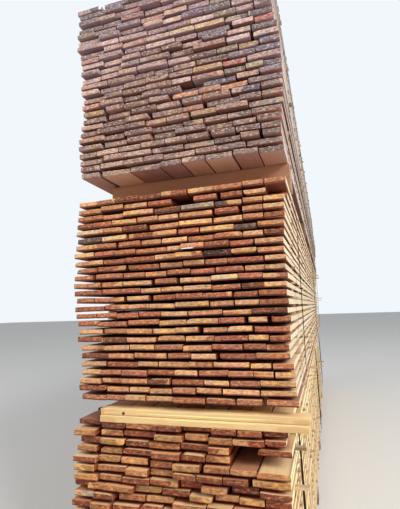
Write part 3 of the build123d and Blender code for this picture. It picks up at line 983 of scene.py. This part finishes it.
def build_stickers(tree, finishes):
    """The laths between the rows of boards."""
    settings = {**STILL_ENDS, "Points Across": 2, "Points Along": 7, "Points Through": 2, "Crowding": 1.2,
                "Arris": 0.001, "Saw Waviness": 0.0006,
                "Face Finish": finishes["lath face"], "End Finish": finishes["lath end"]}
    for package in PACKAGES:
        for node in sorted(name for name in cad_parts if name.startswith(package + "_stickers")):
            stickers = solids_of(node)
            timbers = []
            for number, points in enumerate(stickers + in_between(stickers)):
                dice = Random(node + "lath" + str(number))
                tint = shade(srgb(*dice.choice(LATH_COLOURS[package])), dice.uniform(0.85, 1.15))
                end_tint = shade(tint, dice.choice((1.0, 0.85, 0.6, 0.3)))
                timbers.append(timber_of(points, dice, end_tint, tint, along_x=True, log_radius=LATH_LOG))
            for points, end_shade in standing_out(stickers):
                dice = Random(node + str(end_shade))
                tint = shade(srgb(*LATH_COLOURS[package][0]), end_shade)
                timbers.append(timber_of(points, dice, tint, tint, along_x=True, log_radius=LATH_LOG))
            finished(grown(timbers, tree, settings, node + "_laths"), "sticker_lath", node)


def build_bearers(tree, finishes):
    """The squared bearers and the two loose planks."""
    for node, (tint, slot, behind) in BEARERS.items():
        timbers = []
        for number, points in enumerate(solids_of(node)):
            dice = Random(node + str(number))
            # Bearers behind the first one are darkened by painted shade inside the stack
            colour = shade(srgb(*tint), dice.uniform(0.92, 1.06) * (behind if number else 1.0))
            timbers.append(timber_of(points, dice, shade(colour, 0.8), colour, along_x=True))
        finish = "fresh" if slot == "fresh_timber" else "bearer"
        settings = {**STILL_ENDS, "Points Across": 12, "Points Along": 31, "Points Through": 10,
                    "Crowding": 1.3, "Arris": 0.004,
                    "Face Finish": finishes[finish + " face"], "End Finish": finishes[finish + " end"]}
        finished(grown(timbers, tree, settings, node + "_sawn"), slot, node)


def band_outline(points, inward):
    """A band's path round its package: its four corners, drawn in and turned with a small radius."""
    low, high = points[:, 2].min(), points[:, 2].max()
    middle = (low + high) / 2
    foot, head = points[points[:, 2] < middle], points[points[:, 2] > middle]
    corners = [Vector((foot[:, 0].min(), low)), Vector((foot[:, 0].max(), low)),
               Vector((head[:, 0].max(), high)), Vector((head[:, 0].min(), high))]
    centre = sum(corners, Vector((0.0, 0.0))) / 4
    corners = [corner + Vector([math.copysign(inward, way) for way in centre - corner]) for corner in corners]
    radius = BAND_RADIUS - inward
    path = []
    for number, corner in enumerate(corners):
        before = (corners[number - 1] - corner).normalized()
        after = (corners[(number + 1) % 4] - corner).normalized()
        hub = corner + (before + after) * radius
        for step in range(CORNER_STEPS):
            angle = math.pi / 2 * step / (CORNER_STEPS - 1)
            path.append(hub - (after * math.cos(angle) + before * math.sin(angle)) * radius)
    return path


def twisted(outer, inner, most):
    """The stations of a band: its path, with points added on the right run, where the band is twisted."""
    stations = [(out, into, 0.0) for out, into in zip(outer, inner)]
    foot, head = 2 * CORNER_STEPS - 1, 2 * CORNER_STEPS
    run = []
    for step in range(1, TWIST_STEPS):
        share = step / TWIST_STEPS
        turn = most * math.sin(math.pi * share) ** 0.5
        run.append((outer[foot].lerp(outer[head], share), inner[foot].lerp(inner[head], share), turn))
    return stations[:head] + run + stations[head:]


def tube_faces(rings, start, sides, closed):
    """Faces that join rings of vertices one to the next, and the last to the first where it is closed."""
    faces = []
    for ring in range(rings if closed else rings - 1):
        here, after = start + sides * ring, start + sides * ((ring + 1) % rings)
        for side in range(sides):
            other = (side + 1) % sides
            faces.append((here + side, after + side, after + other, here + other))
    if not closed:
        faces.append(tuple(range(start, start + sides)))
        faces.append(tuple(range(start + sides * (rings - 1), start + sides * rings)))
    return faces


def band_rings(points, most):
    """Four vertices at each station of a band."""
    near, far = points[:, 1].min(), points[:, 1].max()
    middle, half = (near + far) / 2, (far - near) / 2
    vertices = []
    for out, into, turn in twisted(band_outline(points, 0.0), band_outline(points, BAND_THICKNESS), most):
        skew_y, skew_x = half * math.cos(turn), half * math.sin(turn)
        out, into = out + Vector((skew_x, 0.0)), into + Vector((skew_x, 0.0))
        thick = (out - into).length
        lift_y = thick * math.sin(turn)
        lift_x = thick * math.cos(turn) - (out.x - into.x) if turn > 0 else 0.0
        vertices += [(out.x + skew_x, middle - skew_y, out.y), (out.x - skew_x, middle + skew_y, out.y),
                     (into.x - skew_x - lift_x, middle + skew_y - lift_y, into.y),
                     (into.x + skew_x - lift_x, middle - skew_y - lift_y, into.y)]
    return vertices


def seal_rings(points, height):
    """Four vertices at each ring of the crimped sleeve that joins a band at the right side."""
    low, high = points[:, 2].min(), points[:, 2].max()
    foot = points[points[:, 2] < (low + high) / 2][:, 0].max()
    head = points[points[:, 2] > (low + high) / 2][:, 0].max()
    middle = (points[:, 1].min() + points[:, 1].max()) / 2
    vertices = []
    for level, width in SEAL_RINGS:
        x = foot + (head - foot) * (height + level - low) / (high - low)
        flat = width - SEAL_BEVEL
        for out, along in ((SEAL_BACK, -width), (SEAL_FRONT, -flat), (SEAL_FRONT, flat), (SEAL_BACK, width)):
            vertices.append((x + out, middle + along, height + level))
    return vertices


def build_bands(finish):
    """Flat packing bands round the lower and the middle package, each with its crimped seal."""
    for node, (most, seal_height) in BANDS.items():
        vertices, faces = [], []
        for points in solids_of(node):
            for rings, closed in ((band_rings(points, most), True), (seal_rings(points, seal_height), False)):
                faces += tube_faces(len(rings) // 4, len(vertices), 4, closed)
                vertices += rings
        finished(closed_piece(node + "_band", vertices, faces, finish), "strap", node)


def build_slivers(finish):
    """Torn slivers of wood that hang at the board ends, each a thin tapered strip that curls."""
    vertices, faces = [], []
    for across, up, length, heading, curl, width in SLIVERS:
        dice = Random(str(across) + str(up))
        faces += tube_faces(SLIVER_STEPS + 1, len(vertices), 3, False)
        place = Vector((across, SLIVER_ROOT, up))
        for step in range(SLIVER_STEPS + 1):
            share = step / SLIVER_STEPS
            half = width * (1 - share ** 2) / 2 + SLIVER_TIP
            side = Vector((-math.sin(heading), 0.0, math.cos(heading)))
            thick = SLIVER_SWELL * (1 - share) + SLIVER_EDGE
            for offset, depth in ((-half, 0.0), (half, 0.0), (0.0, thick)):
                vertices.append(tuple(place + side * offset + Vector((0.0, -depth, 0.0))))
            way = Vector((math.cos(heading), -SLIVER_LEAN * dice.random(), math.sin(heading)))
            place = place + way * (length / SLIVER_STEPS)
            heading += curl / SLIVER_STEPS
    finished(closed_piece("torn_slivers", vertices, faces, finish), "sawn_board")


# The surroundings

def build_camera(scene):
    """Camera at the place from which the stack is seen."""
    data = bpy.data.cameras.new("camera")
    data.sensor_fit = "HORIZONTAL"
    data.sensor_width = SENSOR
    data.lens = FOCAL_PIXELS / IMAGE_WIDTH * SENSOR
    camera = bpy.data.objects.new("camera", data)
    turn = Matrix((CAMERA_RIGHT, CAMERA_UP, -CAMERA_FORWARD)).transposed()
    camera.matrix_world = Matrix.Translation(CAMERA_PLACE) @ turn.to_4x4()
    scene.collection.objects.link(camera)
    scene.camera = camera


def build_floor(scene):
    """Plain pale floor."""
    reach = FLOOR_REACH
    mesh = bpy.data.meshes.new("floor")
    mesh.from_pydata([(-reach, -reach, 0), (reach, -reach, 0), (reach, reach, 0), (-reach, reach, 0)], [],
                     [(0, 1, 2, 3)])
    floor = bpy.data.objects.new("floor", mesh)
    material, net, shader = new_material("plain floor")
    net.feed(shader.inputs["Base Color"], FLOOR_COLOUR)
    net.feed(shader.inputs["Roughness"], 0.9)
    mesh.materials.append(material)
    scene.collection.objects.link(floor)


def build_light(scene):
    """Soft sky and two lamps; the camera and gloss see a pale backdrop in place of the sky."""
    world = bpy.data.worlds.new("studio")
    scene.world = world
    world.use_nodes = True
    tree = world.node_tree
    net = Net(tree)
    path = tree.nodes.new("ShaderNodeLightPath").outputs
    seen = net.plus(path["Is Glossy Ray"], path["Is Transmission Ray"])
    seen = net.math("ADD", path["Is Camera Ray"], seen, clamp=True)
    light, shown = tree.nodes["Background"], tree.nodes.new("ShaderNodeBackground")
    net.feed(light.inputs["Color"], SKY_COLOUR)
    net.feed(light.inputs["Strength"], SKY_STRENGTH)
    net.feed(shown.inputs["Color"], BACKDROP)
    mix = net.add("ShaderNodeMixShader", seen, light.outputs[0], shown.outputs[0])
    net.feed(tree.nodes["World Output"].inputs[0], mix)

    for name, (place, power) in LAMPS.items():
        data = bpy.data.lights.new(name, "AREA")
        data.energy = power
        data.size = LAMP_SIZE
        lamp = bpy.data.objects.new(name, data)
        lamp.location = place
        lamp.rotation_mode = "QUATERNION"
        lamp.rotation_quaternion = (LAMP_AIM - Vector(place)).to_track_quat("-Z", "Y")
        scene.collection.objects.link(lamp)
    scene.view_settings.view_transform = "Standard"


finishes = all_finishes()
timbers_tree = timber_tree()
build_camera(bpy.context.scene)
build_floor(bpy.context.scene)
build_light(bpy.context.scene)
build_boards(timbers_tree, finishes)
build_stickers(timbers_tree, finishes)
build_bearers(timbers_tree, finishes)
build_bands(strap_finish())
build_slivers(finishes["lath face"])
